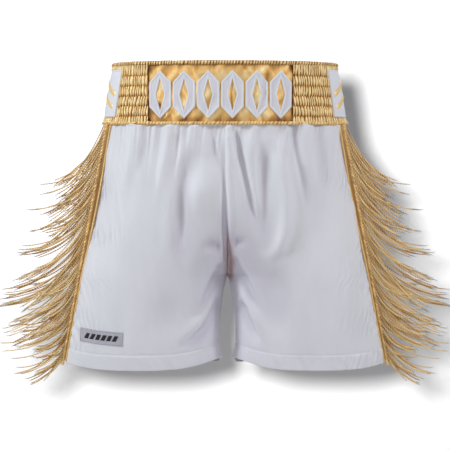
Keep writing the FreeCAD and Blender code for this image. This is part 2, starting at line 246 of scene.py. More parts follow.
class Nodes:
    """A new material's node tree, with short calls to add to it."""

    def __init__(self, name):
        self.material = bpy.data.materials.new(name)
        self.material.use_nodes = True
        self.tree = self.material.node_tree
        self.shader = self.tree.nodes["Principled BSDF"]

    def add(self, kind, inputs=None, **settings):
        node = self.tree.nodes.new(kind)
        for key, value in settings.items():
            setattr(node, key, value)
        for key, value in (inputs or {}).items():
            if isinstance(value, bpy.types.NodeSocket):
                self.tree.links.new(value, node.inputs[key])
            else:
                node.inputs[key].default_value = value
        return node

    def set(self, **values):
        for key, value in values.items():
            socket = self.shader.inputs[key.replace("_", " ")]
            if isinstance(value, bpy.types.NodeSocket):
                self.tree.links.new(value, socket)
            else:
                socket.default_value = value

    def cloth_coordinates(self, across, down):
        """The cloth's own coordinates, scaled to repeats per 100 mm."""
        inputs = {0: self.add("ShaderNodeUVMap", uv_map="cloth").outputs[0], 1: (across, down, 1.0)}
        return self.add("ShaderNodeVectorMath", inputs, operation="MULTIPLY").outputs[0]

    def math(self, operation, *values):
        return self.add("ShaderNodeMath", dict(enumerate(values)), operation=operation).outputs[0]

    # Reads the per-point attribute: painted shade and painted light on some pieces, plain tone on others.
    def painted_shade_and_tone(self):
        return self.add("ShaderNodeAttribute", attribute_name="painted_shade_and_tone").outputs["Fac"]

    def wave(self, direction, **inputs):
        return self.add("ShaderNodeTexWave", inputs, bands_direction=direction).outputs["Fac"]

    def noise(self, vector, scale, detail=2.0, roughness=0.5):
        inputs = {"Scale": scale, "Detail": detail, "Roughness": roughness}
        if vector is not None:
            inputs["Vector"] = vector
        return self.add("ShaderNodeTexNoise", inputs).outputs["Fac"]

    def ramp(self, factor, *stops):
        node = self.add("ShaderNodeValToRGB", {"Fac": factor})
        elements = node.color_ramp.elements
        while len(elements) < len(stops):
            elements.new(0.5)
        for element, (position, colour) in zip(elements, stops):
            element.position = position
            element.color = (*colour, 1.0)
        return node.outputs["Color"]

    def bump(self, height, distance_mm, strength=1.0, normal=None):
        inputs = {"Height": height, "Distance": distance_mm * SCALE, "Strength": strength}
        if normal is not None:
            inputs["Normal"] = normal
        return self.add("ShaderNodeBump", inputs).outputs["Normal"]


def satin_material(name, tones, roughness=0.38, sheen=0.25, metallic=0.0, crinkle=0.0, middle=0.0):
    """Satin: long floats in one direction, fine cross threads, and a slow change of tone over the cloth.

    tones are ramp stops for the tint attribute plus middle, which stray a little with the threads.
    """
    nodes = Nodes(name)
    threads = nodes.noise(nodes.cloth_coordinates(220.0, 18.0), 1.0, 2.0)
    picks = nodes.wave("Y", Vector=nodes.cloth_coordinates(1.0, 1.0), Scale=80.0, Distortion=1.5, Detail=1.0)
    slow = nodes.noise(nodes.cloth_coordinates(3.0, 1.6), 1.0, 3.0)
    tone = nodes.math("MULTIPLY_ADD", threads, 0.08, nodes.painted_shade_and_tone())
    tone = nodes.math("MULTIPLY_ADD", slow, 0.12, tone)
    tone = nodes.math("ADD", tone, middle - 0.1)
    colour = nodes.ramp(tone, *tones)
    weave = nodes.math("ADD", threads, picks)
    normal = nodes.bump(weave, 0.09, 0.8)
    if crinkle:
        creases = nodes.noise(nodes.cloth_coordinates(30.0, 22.0), 1.0, 4.0, 0.6)
        normal = nodes.bump(creases, crinkle, 0.8, normal)
    nodes.set(Base_Color=colour, Normal=normal, Roughness=roughness, Metallic=metallic,
              Sheen_Weight=sheen, Sheen_Roughness=0.4, Anisotropic=0.35)
    return nodes.material


def cord_material(name, light, shade, tip=None, metallic=0.55):
    """Twisted metallic cord. The tint is 0 in the shade, 1 in the light and near 2 at a frayed tip."""
    nodes = Nodes(name)
    painted_shade_and_tone = nodes.painted_shade_and_tone()
    grain = nodes.noise(None, 900.0, 2.0)
    tone = nodes.math("MULTIPLY_ADD", grain, 0.5, painted_shade_and_tone)
    if tip:
        colour = nodes.ramp(nodes.math("MULTIPLY", tone, 0.5), (0.05, shade), (0.62, light), (0.95, tip))
    else:
        colour = nodes.ramp(tone, (0.1, shade), (0.9, light))
    nodes.set(Base_Color=colour, Normal=nodes.bump(grain, 0.15, 0.6), Roughness=0.4, Metallic=metallic)
    return nodes.material


def plain_weave_material(name, colour, darker, pitch=90.0, roughness=0.8):
    nodes = Nodes(name)
    coordinates = nodes.cloth_coordinates(1.0, 1.0)
    warp, weft = (nodes.wave(direction, Vector=coordinates, Scale=pitch) for direction in "XY")
    weave = nodes.math("MULTIPLY", warp, weft)
    worn = nodes.noise(nodes.cloth_coordinates(8.0, 8.0), 1.0, 3.0)
    tone = nodes.math("MULTIPLY_ADD", weave, 0.4, worn)
    nodes.set(Base_Color=nodes.ramp(tone, (0.3, darker), (0.9, colour)), Normal=nodes.bump(weave, 0.12, 0.7),
              Roughness=roughness, Sheen_Weight=0.2)
    return nodes.material


def print_material(name):
    nodes = Nodes(name)
    grain = nodes.noise(None, 1500.0, 2.0)
    colour = nodes.ramp(grain, (0.3, (0.012, 0.012, 0.015)), (0.8, (0.03, 0.03, 0.034)))
    nodes.set(Base_Color=colour, Normal=nodes.bump(grain, 0.05, 0.5), Roughness=0.6)
    return nodes.material


# White satin ramp: the first stop is the lit white; the lavender, pink-brown and dark stops are painted shade for
# fold valleys, the fork and inside the legs.
WHITE_TONES = ((0.0, (0.83, 0.85, 0.90)), (0.4, (0.63, 0.61, 0.71)), (0.62, (0.56, 0.45, 0.47)),
               (1.0, (0.36, 0.19, 0.19)))
THREAD_TONES = ((0.0, (0.80, 0.81, 0.86)), (1.0, (0.6, 0.58, 0.6)))
# Gold ramp: the middle stops are the gold's own colour; the dark brown stops are painted shade in gathers, creases
# and seams, the top stop a painted highlight on crests.
GOLD_TONES = ((0.0, (0.20, 0.07, 0.01)), (0.30, (0.50, 0.25, 0.06)), (0.55, (0.86, 0.52, 0.17)),
              (1.0, (1.0, 0.84, 0.46)))
WHITE_SATIN = satin_material("white_satin", WHITE_TONES, roughness=0.4, sheen=0.2)
WHITE_APPLIQUE = satin_material("white_applique", WHITE_TONES, roughness=0.5, sheen=0.4)
WHITE_THREAD = satin_material("white_thread", THREAD_TONES, roughness=0.5, sheen=0.3)
GOLD_SATIN = satin_material("gold_satin", GOLD_TONES, roughness=0.34, sheen=0.1, metallic=0.45, crinkle=0.3,
                            middle=0.52)
GOLD_PIPING = satin_material("gold_piping", GOLD_TONES, roughness=0.4, metallic=0.35, crinkle=0.25,
                             middle=0.66)
GOLD_THREAD = cord_material("gold_thread", (1.0, 0.72, 0.30), (0.28, 0.10, 0.015), metallic=0.3)
FRINGE_GOLD = cord_material("fringe_gold", (1.0, 0.78, 0.38), (0.42, 0.155, 0.024), (0.45, 0.43, 0.38), 0.15)
ELASTIC = plain_weave_material("elastic_white", (0.78, 0.77, 0.75), (0.6, 0.59, 0.57), pitch=40.0)
LINING = plain_weave_material("lining_white", (0.82, 0.81, 0.8), (0.7, 0.69, 0.68))
LABEL_WHITE = plain_weave_material("label_white", (0.85, 0.85, 0.85), (0.75, 0.75, 0.76), roughness=0.5)
LABEL_GREY = plain_weave_material("label_grey", (0.60, 0.60, 0.67), (0.46, 0.46, 0.53), roughness=0.6)
LABEL_PRINT = print_material("label_print")


# ---------------------------------------------------------------- the body's surface


def section_poles(drop, back):
    """Poles (side to middle) of the half section at each drop, with x positive outwards, as in the CAD."""
    seam = BAND_HIGH + SEW_GAP
    rise = np.clip((drop - seam) / (CROTCH_DROP - seam), 0, 1)
    leg = np.clip((drop - CROTCH_DROP) / (HEM_DROP - CROTCH_DROP), 0, 1)
    waist_share = np.sqrt(np.maximum(0, 1 - rise**3))
    leg_share = 1 - waist_share
    depth = mix(SEAM_HALF_DEPTH, LEG_HALF_DEPTH, smooth(rise))
    if back:
        depth = depth * (1 + SEAT_FULLNESS * np.sin(math.pi * rise))
    width = mix(SEAM_HALF_WIDTH, HEM_HALF_WIDTH, (drop - BAND_HIGH) / (HEM_DROP - BAND_HIGH))
    gap = -MIDDLE_LAP * (1 - leg) ** 6 + LEG_GAP_HALF * (1 - (1 - leg) ** 3)
    gap = gap - (LEG_GAP_HALF - HEM_GAP_HALF) * smooth((leg - 0.8) / 0.2)
    first, second = mix(QUARTER_ARC, HALF_ARC, leg_share), mix(1.0, HALF_ARC, leg_share)
    q = np.linspace(0, 1, 61)[:, None]
    deepest = (3 * q * (1 - q) ** 2 * first + 3 * q * q * (1 - q) * second + q**3 * waist_share).max(axis=0)
    depth = depth / deepest
    xs = [width, width, mix(QUARTER_ARC * width, gap, leg_share), gap]
    ys = [0 * width, depth * first, depth * second, depth * waist_share]
    return np.stack([np.stack(xs, -1), np.stack(ys, -1)], -1)


def cloth_grid(sign, back, drops, start, end, columns):
    """Points of the smooth cloth, a row for each drop, with each one's distance and share of the way from the side.

    They run from start to end, both distances from the side line. An end of None is the middle seam.
    """
    poles = section_poles(drops, back)
    t = np.linspace(0, 1, 500)
    weights = np.stack([(1 - t) ** 3, 3 * t * (1 - t) ** 2, 3 * t * t * (1 - t), t**3])
    curves = np.einsum("kt,rkd->rtd", weights, poles)
    steps = np.hypot(*np.diff(curves, axis=1).transpose(2, 0, 1))
    length = np.concatenate([np.zeros((len(drops), 1)), np.cumsum(steps, axis=1)], axis=1)
    points = np.empty((len(drops), columns, 3))
    away = np.empty((len(drops), columns))
    for k, drop in enumerate(drops):
        away[k] = np.linspace(start, length[k, -1] if end is None else end, columns)
        points[k, :, 0] = sign * np.interp(away[k], length[k], curves[k, :, 0])
        points[k, :, 1] = (1 if back else -1) * np.interp(away[k], length[k], curves[k, :, 1])
        points[k, :, 2] = -drop
    return points, away, away / length[:, -1:]


def lean_to_middle(points):
    """The fork of the real pair sits a few millimetres to the right of its middle."""
    x, z = points[..., 0], points[..., 2]
    points[..., 0] = x + 4.0 * smooth((-z - 150) / 160) * np.clip(1 - np.abs(x) / 230, 0, 1)
    return points


def raised(points, normal, height):
    return lean_to_middle(points + normal * height[..., None])


def near_hem(drop):
    """0 on the upper leg and 1 at the hem."""
    return smooth((drop - 400) / (HEM_DROP - 400))


def laid_flat(across, down):
    """Cloth coordinates from distances across and down the cloth."""
    return np.stack(np.broadcast_arrays(across, down), -1)


def hem_line(share, back):
    """How far the hem hangs below its level, by the share of the way from the side to the inside of the leg."""
    side = SIDE_LIFT * smooth((0.35 - share) / 0.35)
    inseam = -4.0 * smooth((share - 0.7) / 0.3)
    slack = smooth((1 - share) / 0.08)
    if back:
        return side + inseam + 17.0 * bell(share - 0.84, 0.2) * slack
    return side + inseam - 5.0 * bell(share - 0.86, 0.13) * slack


def hang(points, drops, share, back):
    """Lets the foot of a leg hang to the hem's line."""
    points[..., 2] -= hem_line(share, back) * near_hem(drops[:, None])


# Folds in front view, in millimetres: points, width, height (negative for a valley), lean, open ends.
FRONT_FOLDS = (
    # left half, from the waistband down
    ([(-83, -100), (-87, -130), (-95, -168), (-103, -230)], 9, 2.6, 0.2, (0, 0.6)),
    ([(-71, -100), (-73, -135), (-79, -168), (-84, -215)], 7, -2.6, -0.3, (0.2, 0.5)),
    ([(-118, -100), (-124, -140), (-135, -185)], 9, -1.8, 0.2, (0, 0.6)),
    ([(-140, -100), (-146, -150), (-160, -220)], 10, 1.8, 0.0, (0, 0.6)),
    ([(-45, -118), (-58, -150), (-66, -200), (-72, -270), (-76, -330)], 14, -4.6, 0.25, (0.3, 0.4)),
    ([(-62, -110), (-76, -170), (-86, -240), (-92, -310)], 12, 2.2, 0.0, (0.3, 0.5)),
    ([(-36, -140), (-34, -190), (-36, -250)], 24, 5.0, 0.0, (0.5, 0.5)),
    ([(-22, -100), (-15, -130), (-8, -175)], 5, -1.8, 0.0, (0, 0.5)),
    # centre seam
    ([(-2, -120), (-3, -200), (-3, -260), (1, -333)], 4.5, -3.0, 0.0, (0.6, 0)),
    ([(7, -100), (6, -190), (7, -290)], 4.5, 1.6, 0.0, (0, 0.2)),
    # right half
    ([(14, -102), (20, -130), (30, -165), (40, -215), (50, -275)], 6.5, -3.4, -0.35, (0.1, 0.35)),
    ([(4, -104), (11, -140), (20, -180), (30, -235)], 8, 2.2, 0.0, (0.1, 0.5)),
    ([(34, -102), (40, -150), (50, -215), (58, -270)], 9, 2.6, 0.2, (0.2, 0.4)),
    ([(62, -112), (58, -160), (56, -205), (60, -250), (68, -286)], 11, -4.4, 0.1, (0.3, 0.3)),
    ([(78, -108), (86, -160), (92, -215), (91, -258), (80, -292), (62, -300), (48, -286)], 10, 5.0, 0.0,
     (0.25, 0.3)),
    ([(102, -98), (108, -135), (118, -175), (128, -235)], 6, -2.6, 0.3, (0, 0.5)),
    ([(122, -100), (128, -150), (140, -215)], 11, 2.0, 0.0, (0, 0.6)),
    ([(142, -100), (150, -160), (160, -230)], 10, -1.7, 0.0, (0, 0.6)),
    # dents beside the fork
    ([(-42, -282), (-8, -287)], 9, -2.4, 0.0, (0.5, 0.2)),
    ([(9, -280), (34, -276)], 8, -1.8, 0.0, (0.2, 0.5)),
    # left leg, out from the fork
    ([(-4, -312), (-18, -345), (-36, -382), (-56, -414)], 9, -5.0, 0.2, (0.1, 0.5)),
    ([(-12, -345), (-26, -375), (-46, -410), (-82, -438)], 10, 3.0, 0.0, (0.3, 0.4)),
    ([(-9, -360), (-18, -392), (-36, -424), (-80, -452)], 9, -5.0, 0.25, (0.2, 0.4)),
    ([(-84, -330), (-92, -390), (-110, -440)], 26, -2.4, 0.0, (0.5, 0.5)),
    # right leg
    ([(6, -300), (22, -335), (40, -368), (58, -396)], 7, -4.2, -0.2, (0.15, 0.5)),
    ([(14, -332), (30, -370), (50, -412), (66, -440)], 9, 3.0, 0.0, (0.3, 0.4)),
    ([(17, -370), (33, -408), (58, -450)], 8, -4.2, -0.2, (0.2, 0.6)),
    ([(60, -300), (78, -370), (88, -440)], 24, -2.6, 0.0, (0.4, 0.4)),
)
BACK_FOLDS = (
    ([(-60, -100), (-66, -160), (-80, -240)], 11, -3.0, 0.0, (0, 0.6)),
    ([(-105, -100), (-110, -170), (-124, -260)], 12, 2.6, 0.0, (0, 0.6)),
    ([(-28, -100), (-34, -150), (-44, -210)], 9, 2.2, 0.0, (0, 0.6)),
    ([(40, -100), (48, -170), (66, -250)], 11, -3.2, 0.0, (0, 0.6)),
    ([(88, -100), (98, -160), (118, -240)], 12, 2.8, 0.0, (0, 0.6)),
    ([(140, -100), (150, -170), (168, -250)], 12, -2.4, 0.0, (0, 0.6)),
    ([(-150, -100), (-158, -180), (-172, -260)], 12, -2.4, 0.0, (0, 0.6)),
    ([(-2, -240), (-22, -300), (-60, -350), (-120, -380)], 16, -5.0, 0.0, (0.3, 0.5)),
    ([(2, -240), (24, -300), (62, -345), (118, -372)], 16, -5.0, 0.0, (0.3, 0.5)),
    ([(-8, -300), (-30, -350), (-70, -400), (-120, -430)], 12, 3.6, 0.0, (0.3, 0.5)),
    ([(8, -300), (32, -350), (72, -396), (124, -424)], 12, 3.6, 0.0, (0.3, 0.5)),
    ([(-14, -350), (-36, -410), (-74, -450)], 11, -4.0, 0.0, (0.2, 0.4)),
    ([(14, -350), (38, -410), (78, -452)], 11, -4.0, 0.0, (0.2, 0.4)),
    ([(-170, -330), (-150, -400), (-146, -470)], 16, -3.0, 0.0, (0.4, 0)),
    ([(172, -330), (154, -400), (150, -470)], 16, -3.0, 0.0, (0.4, 0)),
)


def cloth_relief(points, away, share, back, sign):
    """How far the cloth stands off its smooth surface: gathers, folds, seam puckers and the hem."""
    x, z = points[..., 0], points[..., 2]
    drop = -z
    seed = 40 if back else 20
    relief = np.zeros(x.shape)
    for line, width, height, lean, open_ends in (BACK_FOLDS if back else FRONT_FOLDS):
        relief += fold(x, z, line, width, height * 1.7, lean, open_ends)
    below = np.maximum(0, drop - BAND_HIGH)
    gathers = noise1(x / 6.3 + 0.02 * below, seed) + 0.6 * noise1(x / 3.6 + 50 + 0.03 * below, seed + 1)
    relief += 2.2 * gathers * np.exp(-below / 26) * smooth(below / 3 + 0.3)
    relief += 1.5 * noise1(x / 12.0 + 9 + 0.012 * below, seed + 2) * np.exp(-below / 60)
    relief += 2.6 * noise2(x / 70 + 5, z / 110 + 3, seed + 3) * smooth(below / 60)
    relief += 1.0 * noise2(x / 24 + 5, z / 60 + 3, seed + 4) * smooth(below / 80)
    relief += 0.35 * noise2(x / 9 + 0.02 * z, z / 40 + 3, seed + 10) * smooth(below / 80)
    # Puckers run down and inwards from the side seam, in patches.
    inward = np.maximum(0, away - STRIPE_HALF)
    phase = (0.86 * inward - 0.42 * drop) / 8.5 + 0.6 * noise2(inward / 18, drop / 22, seed + 5)
    patchy = smooth(0.55 + 0.9 * noise1(drop / 34 + (0 if sign < 0 else 7), seed + 6))
    reach = np.exp(-inward / (19 + 10 * noise1(drop / 27 + 3, seed + 7)))
    relief += 3.4 * patchy * reach * smooth(inward / 7) * np.sin(2 * math.pi * phase) * smooth((drop - 150) / 60)
    relief += 0.5 * noise2(inward / 5, drop / 16, seed + 8) * np.exp(-inward / 12)
    # The hem is three plies below its stitch line, and puckers a little along it.
    above = HEM_DROP - drop
    relief += 0.7 * smooth((25 - above) / 2.5) - 0.8 * bell(above - 23.5, 1.2)
    relief += 0.55 * noise2((x + 0.4 * above) / 8, above / 16, seed + 9) * smooth((30 - above) / 8)
    # The middle seam is drawn in, and the panel edge tucks under the stripe's edge.
    middle = (1 - share) * away / np.maximum(share, 1e-6)
    relief -= 0.9 * bell(middle, 2.0) * smooth((300 - drop) / 60)
    relief -= 0.6 * np.exp(-inward / 1.5)
    return relief * (1 - 0.85 * smooth((share - 0.8) / 0.2) * smooth((drop - 290) / 45))


def cloth_shade(points, relief, share, back):
    """Painted shade on the white satin: 0 in the light, about 0.4 in the fold valleys, more round the fork and
    along the inner side of each leg below it, and 1 in the deepest part of the fork.
    """
    x, drop = points[..., 0] - 4.0, -points[..., 2]
    valley = 0.17 * smooth((1.0 - relief) / 6.0)
    fork = 0.6 * bell(x, 5.0) * smooth((drop - 215) / 125) * smooth((352 - drop) / 14)
    around = 0.20 * bell(x, 62.0) * smooth((drop - 190) / 90)
    inner = 0.30 * smooth((share - 0.93) / 0.07) * smooth((drop - 330) / 30)
    return np.clip(valley + around + inner + (0.5 if back else 1.0) * fork, 0, 1)


def on_cloth(sign, back, drops, start, end, columns, lift, hangs=False):
    """Points of cloth_grid that lie on the leg's own folds and gathers, lifted a little."""
    points, away, share = cloth_grid(sign, back, drops, start, end, columns)
    height = cloth_relief(points, away, share, back, sign) + lift
    normal = cloth_normals(points, sign, back)
    if hangs:
        hang(points, drops, share, back)
    return raised(points, normal, height)


def build_leg_cloth():
    """The four leg panels, each with its hem edge rolled under, and the inner ply of each hem."""
    rows, columns = ((330, 230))
    panels = {}
    for side, sign in SIDES:
        for back in FRONT_AND_BACK:
            steps, wide = (rows * 2 // 3, columns * 2 // 3) if back else (rows, columns)
            drops = np.linspace(BAND_HIGH - 2.0, HEM_DROP, steps)
            points, away, share = cloth_grid(sign, back, drops, STRIPE_HALF - 1.0, None, wide)
            relief = cloth_relief(points, away, share, back, sign)
            normal = cloth_normals(points, sign, back)
            shade = cloth_shade(points, relief, share, back)
            hang(points, drops, share, back)
            points = raised(points, normal, relief)
            under = []
            for turn in (60, 120, 180):
                a = math.radians(turn)
                inwards = normal[-1] * 0.8 * (math.cos(a) - 1)
                under.append(points[-1] + inwards + np.array([0, 0, -0.8 * math.sin(a)]))
            under.append(under[-1] + np.array([0, 0, 6.0]))
            points = np.concatenate([points, np.stack(under)])
            # The rolled-under hem edge gets painted shade, a little darker than the row above it.
            shade = np.concatenate([shade, np.repeat(shade[-1:] + 0.1, 4, axis=0)]).ravel()
            drops = np.concatenate([drops, HEM_DROP + np.array([1, 2, 3, 9.0])])
            away = np.concatenate([away, np.repeat(away[-1:], 4, axis=0)])
            name = f"{side}_{'back' if back else 'front'}_panel"
            panels[name] = grid_piece(f"{name}_cloth", points, WHITE_SATIN, name, laid_flat(away, drops[:, None]),
                                      shade)
        plies, flat = [], []
        for back in FRONT_AND_BACK:
            drops = np.linspace(HEM_DROP - 24, HEM_DROP - 1.0, 14)
            points, away, share = cloth_grid(sign, back, drops, 0.0, None, 120)
            normal = cloth_normals(points, sign, back)
            relief = cloth_relief(points, away, share, back, sign) * smooth((away - STRIPE_HALF) / 4) - 1.9
            hang(points, drops, share, back)
            plies.append(grid_with_faces(raised(points, normal, relief)))
            flat.append(laid_flat(away, drops[:, None]))
        name = f"{side}_hem_fold"
        # The inner ply of each hem is painted at 0.62 on the white ramp: pink-brown painted shade for the inside of
        # the leg.
        panels[name] = make_piece(f"{name}_cloth", *join(plies), WHITE_SATIN, name, np.array(flat), 0.62)
    return panels


def build_stripes():
    """The gold stripe down each side, and the smooth folded edge where it meets the front and back panels."""
    made = {}
    drops = np.linspace(BAND_HIGH - 1, HEM_DROP, 220)
    lift = SIDE_LIFT * near_hem(drops)
    for side, sign in SIDES:
        halves = [cloth_grid(sign, back, drops, 0.0, STRIPE_HALF, 24) for back in FRONT_AND_BACK]
        (front, away_front, _), (rear, away_rear, _) = halves
        points = np.concatenate([front[:, ::-1], rear[:, 1:]], axis=1)
        away = np.concatenate([-away_front[:, ::-1], away_rear[:, 1:]], axis=1)
        normal = cloth_normals(points, sign, True)
        drop = drops[:, None]
        relief = 0.7 * noise2(away / 9, drop / 26, 81) + 0.35 * noise2(away / 4, drop / 7, 82)
        relief -= 0.5 * bell(HEM_DROP - drop - 23.5, 1.3) + 0.3
        points[..., 2] -= lift[:, None]
        points = raised(points, normal, relief)
        tail = points[-1:] - normal[-1:] * 1.4
        points = np.concatenate([points, tail, tail + np.array([0, 0, 8.0])])
        uv = laid_flat(away, drop)
        uv = np.concatenate([uv, uv[-1:], uv[-1:]])
        name = f"{side}_side_stripe"
        made[name] = grid_piece(f"{side}_stripe_satin", points, GOLD_SATIN, name, uv)
        lips = []
        for back in FRONT_AND_BACK:
            edge, _, _ = cloth_grid(sign, back, drops, STRIPE_HALF - 0.5, STRIPE_HALF + 2.1, 3)
            normal = cloth_normals(edge, sign, back)[:, 1]
            path = edge[:, 1].copy()
            path[:, 2] -= lift
            path = raised(path, normal, 0.9 + 0.2 * noise1(drops / 7, 84))
            ring = tube(path, 1.5 + 0.12 * noise1(drops / 5, 85)[:, None], 10, (0, 1, 0))
            lips.append(grid_with_faces(ring, True))
        uv = np.array([laid_flat(np.arange(10.0), drop)] * 2)
        made[f"{side}_lip"] = make_piece(f"{side}_stripe_edge", *join(lips), GOLD_PIPING, uv=uv)
    return made


# ---------------------------------------------------------------- the waistband


def band_axes(drop):
    share = drop / BAND_HIGH
    return mix(TOP_HALF_WIDTH, SEAM_HALF_WIDTH, share), mix(TOP_HALF_DEPTH, SEAM_HALF_DEPTH, share)


def band_points(angle, drop, offset):
    """Points on the waistband. angle is the ellipse's, 0 at the right and -90 degrees at the front."""
    half_width, half_depth = band_axes(drop)
    normal = unit(np.stack([np.cos(angle) / half_width, np.sin(angle) / half_depth], -1))
    x = half_width * np.cos(angle) + normal[..., 0] * offset
    y = half_depth * np.sin(angle) + normal[..., 1] * offset
    return np.stack([x, y, np.broadcast_to(-drop, x.shape)], -1)


def front_points(x, drop, offset):
    """Points on the front of the waistband above given x."""
    half_width, _ = band_axes(drop)
    return band_points(-np.arccos(np.clip(x / half_width, -1, 1)), drop, offset)


def even_angles(start, end, count):
    """Angles that are evenly spaced by length round the band, and that length from the first."""
    fine = np.linspace(start, end, 4000)
    half_width, half_depth = band_axes(BAND_HIGH / 2)
    speed = np.hypot(half_width * np.sin(fine), half_depth * np.cos(fine))
    length = np.concatenate([[0], np.cumsum((speed[1:] + speed[:-1]) / 2 * np.diff(fine))])
    wanted = np.linspace(0, length[-1], count)
    return np.interp(wanted, length, fine), wanted


STITCH_ROWS = (0.0, 22.5, 38.0, 53.5, 68.5, 84.0, BAND_HIGH)


def shirring(length, drop, seed):
    """Height and tone of elastic shirring: a row of fine upright gathers between each two stitch lines."""
    height = np.zeros(length.shape)
    tone = np.zeros(length.shape)
    for k, (top, foot) in enumerate(zip(STITCH_ROWS, STITCH_ROWS[1:])):
        share = (drop - top) / (foot - top)
        inside = (share >= 0) & (share <= 1)
        puff = np.sin(math.pi * np.clip(share, 0, 1)) ** 0.6
        sway = 0.45 * noise1(length / 11, seed + k) + (share - 0.5) * 0.5 * noise1(length / 17, seed + 10 + k)
        phase = length / 4.3 + sway
        gather = np.abs(np.sin(math.pi * phase)) ** 0.8
        deep = 2.1 + 1.0 * noise1(length / 5.5, seed + 20 + k)
        high = 1.7 + 0.4 * noise1(length / 24, seed + 30 + k) + deep * (gather - 0.55)
        height = np.where(inside, puff * high, height)
        fleck = 0.3 * noise2(length / 2.1, drop / 5.0, seed + 40 + k)
        # Painted light and shade: each gather's crest and the middle of each puffed row are painted lighter, the
        # folds between gathers and the stitched edges darker; the flecks are random tone.
        tone = np.where(inside, 1.05 * (gather - 0.55) + 0.7 * (puff - 0.8) + fleck, tone)
    return height, tone


def centre_relief(x, drop):
    """Height of the smooth centre panel, with its slack diagonal wrinkles."""
    relief = 0.8 * noise2((x + 0.7 * drop) / 13, (drop - 0.3 * x) / 40, 131)
    relief += 0.4 * noise2((x - 0.5 * drop) / 6, drop / 17, 132)
    edge = np.maximum(np.minimum(drop - 5, BAND_HIGH - 3 - drop), 0)
    relief += 0.4 * noise1(x / 3.1, 133) * np.exp(-edge / 7) + 1.0 * smooth(edge / 14)
    sides = np.minimum(x - CENTRE_LEFT, CENTRE_RIGHT - x)
    relief -= 0.9 * np.exp(-np.maximum(sides, 0) / 3)
    for line, width, height in (
        ([(-98, 66), (-92, 76), (-84, 86)], 3.0, 1.6),
        ([(-101, 62), (-95, 74), (-88, 86)], 2.4, -1.6),
        ([(58, 20), (54, 40), (48, 62)], 4.0, 1.6),
        ([(64, 18), (61, 42), (55, 66)], 3.0, -1.4),
        ([(-40, 30), (-44, 55), (-50, 80)], 3.0, 1.2),
        ([(12, 26), (9, 50), (12, 80)], 3.5, -1.0),
    ):
        relief = relief + fold(x, drop, line, width, height)
    return relief


def build_cover():
    """The shirred cover, from one end of the centre panel round the back to the other."""
    start = -math.acos(CENTRE_RIGHT / 185.0)
    end = math.pi + math.acos(-CENTRE_LEFT / 185.0)
    columns, rows = ((1500, 110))
    angle, length = even_angles(start, end, columns)
    drop = spread(0.5, BAND_HIGH - 0.5, rows, columns)
    length = np.broadcast_to(length, drop.shape)
    half_width = band_axes(drop)[0]
    row_start = -np.arccos(CENTRE_RIGHT / half_width)
    row_end = math.pi + np.arccos(-CENTRE_LEFT / half_width)
    angle = mix(row_start, row_end, (angle - start) / (end - start))
    under_patch = smooth((np.abs(half_width * np.cos(angle)) - PATCH_FRONT_X - 1) / 3)
    under_patch = under_patch * smooth((drop - PATCH_TOP + 1) / 3)
    under_patch = under_patch * smooth((PATCH_TOP + PATCH_HIGH - drop + 1) / 3)
    height, tone = shirring(length, drop, 100)
    points = band_points(angle, drop, height * (1 - 0.9 * under_patch) - 0.2)
    return grid_piece("waistband_shirred_satin", points, GOLD_SATIN, "waistband_shirred_cover",
                      laid_flat(length * 1.4, drop), tone.ravel())


def build_centre():
    """The smooth centre panel, with slack diagonal wrinkles."""
    columns, rows = ((400, 170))
    x = np.linspace(CENTRE_LEFT - 2, CENTRE_RIGHT + 2, columns)[None, :] * np.ones((rows, 1))
    drop = spread(5.0, BAND_HIGH - 3, rows, columns)
    relief = centre_relief(x, drop)
    edge = np.minimum(drop - 5, BAND_HIGH - 3 - drop)
    sides = np.minimum(x - CENTRE_LEFT, CENTRE_RIGHT - x)
    # Painted light and shade: lighter where the wrinkles stand up, darker in their hollows, and painted shade along
    # the panel's top, foot and both ends; the diagonal noise is random tone.
    tone = 0.24 * relief - 0.4 * np.exp(-edge / 1.5) - 0.6 * np.exp(-np.maximum(sides, 0) / 1.6) - 0.16
    tone += 0.3 * noise2((x + 0.9 * drop) / 10, (drop - 0.4 * x) / 30, 134)
    points = front_points(x, drop, relief)
    return grid_piece("waistband_centre_satin", points, GOLD_SATIN, "waistband_centre_panel", laid_flat(x, drop),
                      tone.ravel())


def closed_tube_piece(name, path, radius, material, node, length, tone):
    """A tube round the band, with a seam in its cloth coordinates."""
    around = radius.shape[1]
    ring = tube(path, radius, around, (0, 0, 1), closed=True)
    points, tone = (np.concatenate([grid, grid[:1]]) for grid in (ring, tone))
    uv = laid_flat(np.append(length, length[-1] + length[1])[:, None], np.arange(around) * 1.2)
    return grid_piece(name, points, material, node, uv, tone.ravel(), wrap=True)


